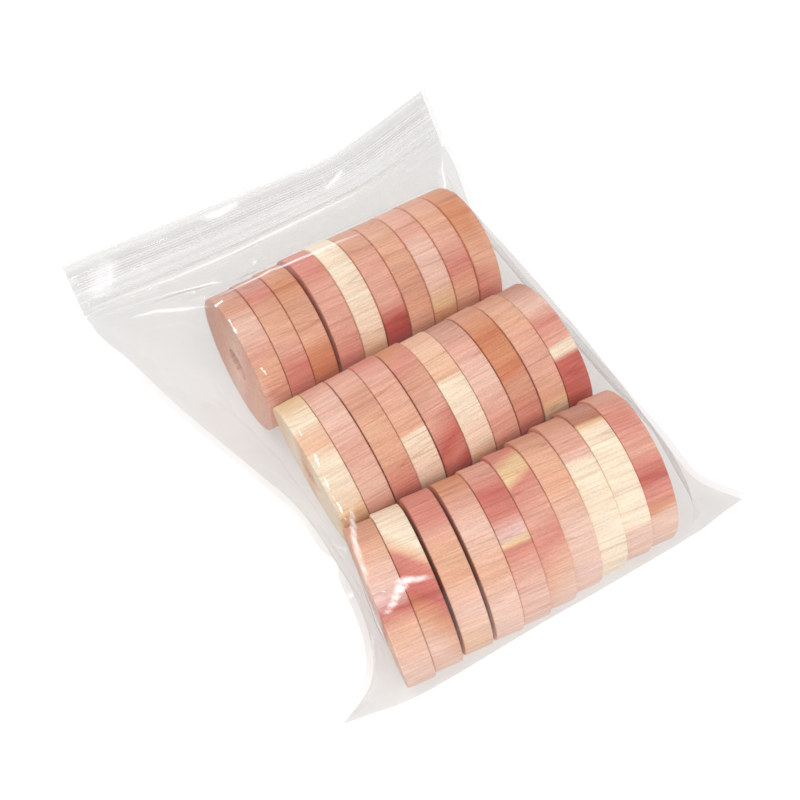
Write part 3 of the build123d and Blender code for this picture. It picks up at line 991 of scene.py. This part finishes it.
def add_ribs(name, places, width, height, side, reach, lip):
    """Ribs across a lip: each is a low ridge of two slopes, at its distance from the zip's foot."""
    u = np.linspace(0, 1, 4 * ACROSS + 1)
    chosen = (u >= max(reach[0], FREE_SHARE)) & (u <= min(reach[1], 1 - FREE_SHARE))
    foot, edge = zip_foot(u, side)[chosen], mouth_edge(u, side)[chosen]
    depth = (edge - foot) / lip
    up = unit(np.cross(np.gradient(foot, axis=0), depth))
    stand = math.copysign(RIB_STAND, height)
    points, faces = [], []
    n = len(RIDGE_SHARES)
    for place in places:
        base = len(points)
        for f, d, w in zip(foot, depth, up):
            for a, b in RIDGE_SHARES:
                points.append((f + d * (place + a * width) + w * (b * height + stand)) * MM)
        for i in range(len(foot) - 1):
            for s in range(n - 1):
                a = base + i * n + s
                faces.append((a, a + 1, a + n + 1, a + n))
    return add_mesh(name, points, faces, smooth=False)


class CEDAR_OT_zip(bpy.types.Operator):
    """Add the zip's rib and channel, and the grip ribs on the front lip"""

    bl_idname = "cedar.zip"
    bl_label = "Add Zip and Grip Ribs"

    def execute(self, context):
        zipper, settings = context.scene.zipper, context.scene.film
        track = film_material("extruded_polyethylene_zip", settings, 0.35, 0.2)
        embossed = film_material("embossed_polyethylene_ribs", settings, 0.10, 0.3, dull=True)
        bead, height = zipper.bead / MM, zipper.height / MM
        place, lip = zipper.track / MM, settings.lip / MM
        grip_width, grip_height = zipper.grip_width / MM, zipper.grip_height / MM
        spots = [(zipper.grip_place + k * zipper.grip_pitch) / MM for k in range(zipper.grip_count)]
        for side, film, reach in (
            ("middle", "mouth_film", (1 / 3, 2 / 3)),
            ("left", "left_mouth_film", (0, 1 / 3)),
            ("right", "right_mouth_film", (2 / 3, 1)),
        ):
            # The rib stands towards the channel, which is under it
            rib = add_ribs(f"{side}_zip_bead", [place], bead, -height, 1, reach, lip)
            rib.data.materials.append(track)
            grip = add_ribs(f"{side}_grip_lines", spots, grip_width, grip_height, 1, reach, lip)
            grip.data.materials.append(embossed)
            for piece in (rib, grip):
                if side == "middle":
                    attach(piece, "mouth")
                else:
                    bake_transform(piece)
            lay_out(bpy.data.objects[film])
            if side == "middle":
                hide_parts("zip_rib")
                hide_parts("grip_ribs")
        walls = [place - bead, place + bead]
        channel = add_ribs("zip_channel_walls", walls, 0.6 * bead, 0.8 * height, -1, (0, 1), lip)
        channel.data.materials.append(track)
        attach(channel, "bag")
        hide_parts("zip_channel")
        return {"FINISHED"}


FLOOR_HALF = 3
# Lamps: name, place and size in metres, whose power each follows, and its share of it
LAMPS = (
    ("key_softbox", (-0.05, -0.53, 0.76), (0.45, 0.45), "key", 1.0),
    ("back_softbox", (-0.30, 0.60, 0.60), (0.30, 0.30), "key", 0.35),
    ("rear_strip", (-0.12, 0.80, 0.36), (0.26, 0.04), "glint", 3.0),
    ("bare_lamp", (-0.20, 0.40, 0.78), (0.06, 0.06), "glint", 1.0),
)
LAMP_AIM = (0, 0, 0.02)
# The camera stands where the photograph was taken from, found from the rims of the rings: its turn,
# tilt and roll in degrees, and where it looks and from how far in millimetres
CAMERA_ANGLES = (-21.188, 56.049, -9.644)
CAMERA_AIM = (-4.07, -22.54, 16.11)
CAMERA_DISTANCE = 324.21
FILM_GATE = 36.0


class CEDAR_OT_stage(bpy.types.Operator):
    """Set the floor, the lamps, the world light and the camera"""

    bl_idname = "cedar.stage"
    bl_label = "Set Stage"

    def execute(self, context):
        stage, scene = context.scene.stage, context.scene
        scene.view_settings.view_transform = "Standard"
        self.add_floor(stage)
        self.light_room(scene, stage)
        for lamp in LAMPS:
            self.add_lamp(scene, stage, *lamp)
        self.add_camera(scene, stage)
        return {"FINISHED"}

    def add_floor(self, stage):
        """A sheet lit from below as well, as for a cut-out picture, which leaves a faint shadow."""
        corners = [(x * FLOOR_HALF, y * FLOOR_HALF, 0) for x, y in ((-1, -1), (1, -1), (1, 1), (-1, 1))]
        floor = add_mesh("floor", corners, [(0, 1, 2, 3)], smooth=False)
        paper = material("matt_white_paper")
        tree = paper.node_tree
        matt = node(tree, "BsdfDiffuse", {"Color": (*stage.floor, 1.0)})
        lit = node(tree, "Emission", {"Color": light(1), "Strength": 1.05})
        node(tree, "OutputMaterial", {"Surface": node(tree, "MixShader", {0: stage.glow, 1: matt, 2: lit})})
        floor.data.materials.append(paper)

    def light_room(self, scene, stage):
        """A white background, soft light, and a room for the film to mirror."""
        world = bpy.data.worlds.new("soft_white_room")
        scene.world = world
        world.use_nodes = True
        tree = world.node_tree
        tree.nodes.clear()
        ray = node(tree, "LightPath")
        # What the film mirrors: a white sweep all round the bag, and a dim room above it
        way = node(tree, "SeparateXYZ", {0: node(tree, "TexCoord").outputs["Generated"]})
        inputs = {0: way.outputs["Z"], 1: 0.4, 2: 0.78, 3: stage.sweep, 4: stage.mirror}
        mirrored = node(tree, "MapRange", inputs, interpolation_type="SMOOTHSTEP")
        room, dim, seen = (
            node(tree, "Background", {"Color": light(1), "Strength": strength})
            for strength in (stage.fill, mirrored, 1.0)
        )
        most = node(tree, "MixShader", {0: ray.outputs["Is Glossy Ray"], 1: room, 2: dim})
        both = node(tree, "MixShader", {0: ray.outputs["Is Camera Ray"], 1: most, 2: seen})
        node(tree, "OutputWorld", {"Surface": both})

    def add_lamp(self, scene, stage, name, place, size, follows, share):
        """An area lamp that looks at the bag."""
        lamp = bpy.data.lights.new(name, "AREA")
        lamp.shape = "RECTANGLE"
        lamp.size, lamp.size_y = size
        lamp.energy = share * getattr(stage, follows)
        obj = bpy.data.objects.new(name, lamp)
        scene.collection.objects.link(obj)
        # The film mirrors the bare lamp and the strip, and the softboxes only light the scene
        obj.visible_glossy = "softbox" not in name
        obj.location = place
        obj.rotation_euler = (Vector(LAMP_AIM) - Vector(place)).to_track_quat("-Z", "Y").to_euler()

    def add_camera(self, scene, stage):
        """The photograph's view."""
        turn, tilt, roll = (math.radians(angle) for angle in CAMERA_ANGLES)
        back = Vector((math.sin(turn) * math.cos(tilt), -math.cos(turn) * math.cos(tilt), math.sin(tilt)))
        right = (-back).cross(Vector((0, 0, 1))).normalized()
        up = right.cross(-back)
        side = right * math.cos(roll) + up * math.sin(roll)
        top = up * math.cos(roll) - right * math.sin(roll)
        data = bpy.data.cameras.new("camera")
        data.lens, data.sensor_width, data.sensor_fit = stage.lens, FILM_GATE, "HORIZONTAL"
        camera = bpy.data.objects.new("camera", data)
        scene.collection.objects.link(camera)
        matrix = Matrix((side, top, back)).transposed().to_4x4()
        matrix.translation = (Vector(CAMERA_AIM) + back * CAMERA_DISTANCE) * MM
        camera.matrix_world = matrix
        scene.camera = camera


class CEDAR_PT_panel(bpy.types.Panel):
    """Lists the settings and the operators"""

    bl_idname = "CEDAR_PT_panel"
    bl_label = "Bag of Cedar Rings"
    bl_space_type = "VIEW_3D"
    bl_region_type = "UI"
    bl_category = "Cedar Rings"

    def draw(self, context):
        for group, operator in (
            ("cedar", "cedar.rings"), ("film", "cedar.film"), ("zipper", "cedar.zip"), ("stage", "cedar.stage")
        ):
            box = self.layout.box()
            settings = getattr(context.scene, group)
            for name in settings.__annotations__:
                box.prop(settings, name)
            box.operator(operator)


CLASSES = (
    CedarSettings, FilmSettings, ZipSettings, StageSettings,
    CEDAR_OT_rings, CEDAR_OT_film, CEDAR_OT_zip, CEDAR_OT_stage, CEDAR_PT_panel,
)
GROUPS = {"cedar": CedarSettings, "film": FilmSettings, "zipper": ZipSettings, "stage": StageSettings}


def register():
    for cls in CLASSES:
        bpy.utils.register_class(cls)
    for name, group in GROUPS.items():
        setattr(bpy.types.Scene, name, PointerProperty(type=group))


def unregister():
    for name in GROUPS:
        delattr(bpy.types.Scene, name)
    for cls in reversed(CLASSES):
        bpy.utils.unregister_class(cls)


def main():
    register()
    bpy.ops.cedar.stage()
    bpy.ops.cedar.rings()
    bpy.ops.cedar.film()
    bpy.ops.cedar.zip()


if __name__ == "__main__":
    main()
